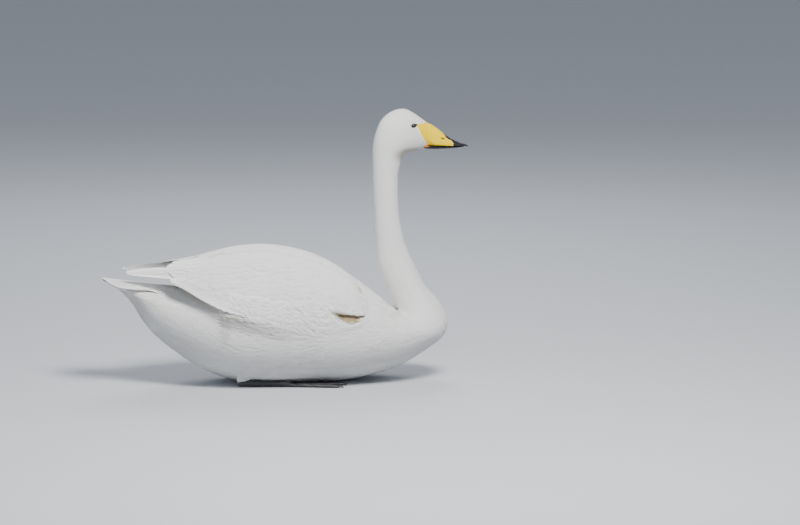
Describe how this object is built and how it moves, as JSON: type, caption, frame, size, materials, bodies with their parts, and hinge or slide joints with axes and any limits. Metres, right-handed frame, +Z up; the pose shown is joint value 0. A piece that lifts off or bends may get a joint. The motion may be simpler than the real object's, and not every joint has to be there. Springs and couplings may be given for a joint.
{
  "type": "whooper swan",
  "caption": "Life-size still model of a whooper swan, sitting level as it swims, with an upright neck, folded wings and tucked feet.",
  "frame": {"origin": "on the floor, under the middle of the bounding box", "axes": "+X towards the bill, +Y the bird's left, +Z up"},
  "size_m": [0.8678, 0.3322, 0.6381],
  "materials": {
    "plumage": "soft white feathers",
    "bill": "smooth yellow horn and skin with a black tip",
    "horn": "smooth black horn",
    "eye": "wet dark brown",
    "leg": "black scaly skin"
  },
  "bodies": {
    "root": {"trunk": "plumage", "tail_coverts": "plumage", "tail": "plumage", "wing_left": "plumage", "wing_right": "plumage", "primaries_left": "plumage", "primaries_right": "plumage", "neck_lower": "plumage", "neck_middle": "plumage", "neck_upper": "plumage", "head": "plumage", "shank_left": "plumage", "shank_right": "plumage", "eye_left": "eye", "eye_right": "eye", "bill_upper": "bill", "bill_lower": "horn", "bill_nail": "horn", "foot_left": "leg", "foot_right": "leg", "tarsus_left": "leg", "tarsus_right": "leg", "claw_inner_left": "horn", "claw_middle_left": "horn", "claw_outer_left": "horn", "claw_inner_right": "horn", "claw_middle_right": "horn", "claw_outer_right": "horn"}
  },
  "joints": []
}
